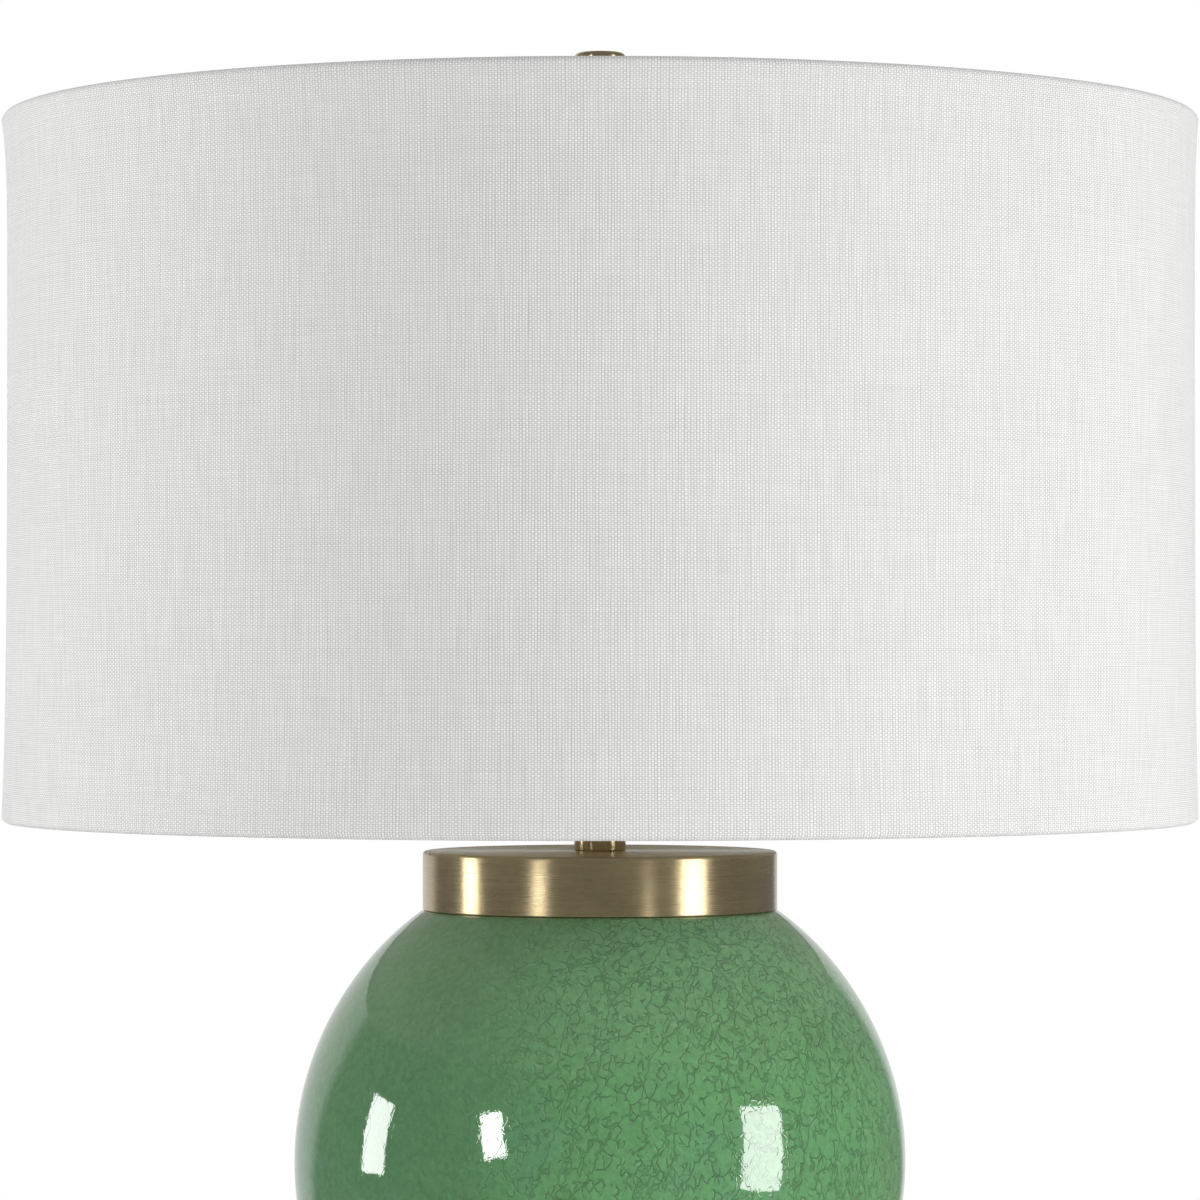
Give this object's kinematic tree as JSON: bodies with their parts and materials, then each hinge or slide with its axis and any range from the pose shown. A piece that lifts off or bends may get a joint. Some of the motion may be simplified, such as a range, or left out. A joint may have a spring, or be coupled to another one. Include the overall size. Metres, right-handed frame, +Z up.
{
  "type": "table lamp",
  "caption": "Ginger jar table lamp: glazed jar on a brass foot, brass cap and neck, socket with rotary switch, harp and drum shade held by a finial.",
  "frame": {"origin": "on the surface that the lamp stands on, under its axis", "axes": "+Z up along the lamp's axis; the switch faces -Y (front), the cord bushing +Y (rear), and the harp spreads along X"},
  "size_m": [0.4317, 0.4318, 0.635],
  "materials": {
    "felt": "pressed wool felt",
    "brass_brushed": "spun, fine circular brushing, antique tone",
    "brass_polished": "polished",
    "brass_plate": "bright brass plate",
    "bushing_plastic": "moulded",
    "steel_zinc": "zinc plated",
    "rubber": "matt",
    "crackle_glaze": "green crackle glaze, glossy",
    "card": "fibre",
    "socket_moulding": "phenolic moulding",
    "thread_aluminium": "rolled",
    "knob_plastic": "moulded",
    "wire_white": "white enamel",
    "lining": "white styrene sheet",
    "linen": "plain-weave linen"
  },
  "bodies": {
    "root": {"felt_pad": "felt", "base_foot": "brass_brushed", "cord_bushing": "bushing_plastic", "lamp_pipe": "steel_zinc", "base_washer": "steel_zinc", "hex_nuts": "steel_zinc", "jar_seat_pad": "rubber", "jar": "crackle_glaze", "mouth_gasket": "rubber", "jar_cap": "brass_brushed", "neck": "brass_polished", "harp_saddle": "brass_plate", "socket_cap": "brass_plate", "socket_set_screw": "steel_zinc", "socket_shell": "brass_plate", "socket_liner": "card", "socket_insulator": "socket_moulding", "terminal_screws": "brass_plate", "socket_screw_shell": "thread_aluminium", "socket_centre_contact": "brass_plate"},
    "switch": {"switch_stem": "brass_plate", "switch_knob": "knob_plastic"},
    "harp": {"harp_bow": "brass_plate"},
    "sleeve_left": {"harp_sleeve_left": "brass_plate"},
    "sleeve_right": {"harp_sleeve_right": "brass_plate"},
    "shade": {"harp_stud": "brass_plate", "shade_spider": "wire_white", "shade_bottom_ring": "wire_white", "shade_liner": "lining", "shade_fabric": "linen"},
    "finial": {"finial": "brass_polished"}
  },
  "joints": [
    {"name": "switch_turn", "type": "hinge", "parent": "root", "child": "switch", "pos_m": [0, -0.02, 0.40028], "axis": [0, -1, 0], "continuous": true},
    {"name": "harp_lift", "type": "slide", "parent": "root", "child": "harp", "axis": [0, 0, 1], "range_m": [0, 0.014]},
    {"name": "sleeve_left_slide", "type": "slide", "parent": "harp", "child": "sleeve_left", "axis": [0, 0, 1], "range_m": [0, 0.014]},
    {"name": "sleeve_right_slide", "type": "slide", "parent": "harp", "child": "sleeve_right", "axis": [0, 0, 1], "range_m": [0, 0.014]},
    {"name": "shade_turn", "type": "hinge", "parent": "harp", "child": "shade", "pos_m": [0, 0, 0.5957], "axis": [0, 0, 1], "continuous": true},
    {"name": "finial_turn", "type": "hinge", "parent": "shade", "child": "finial", "pos_m": [0, 0, 0.5972], "axis": [0, 0, 1], "continuous": true}
  ]
}
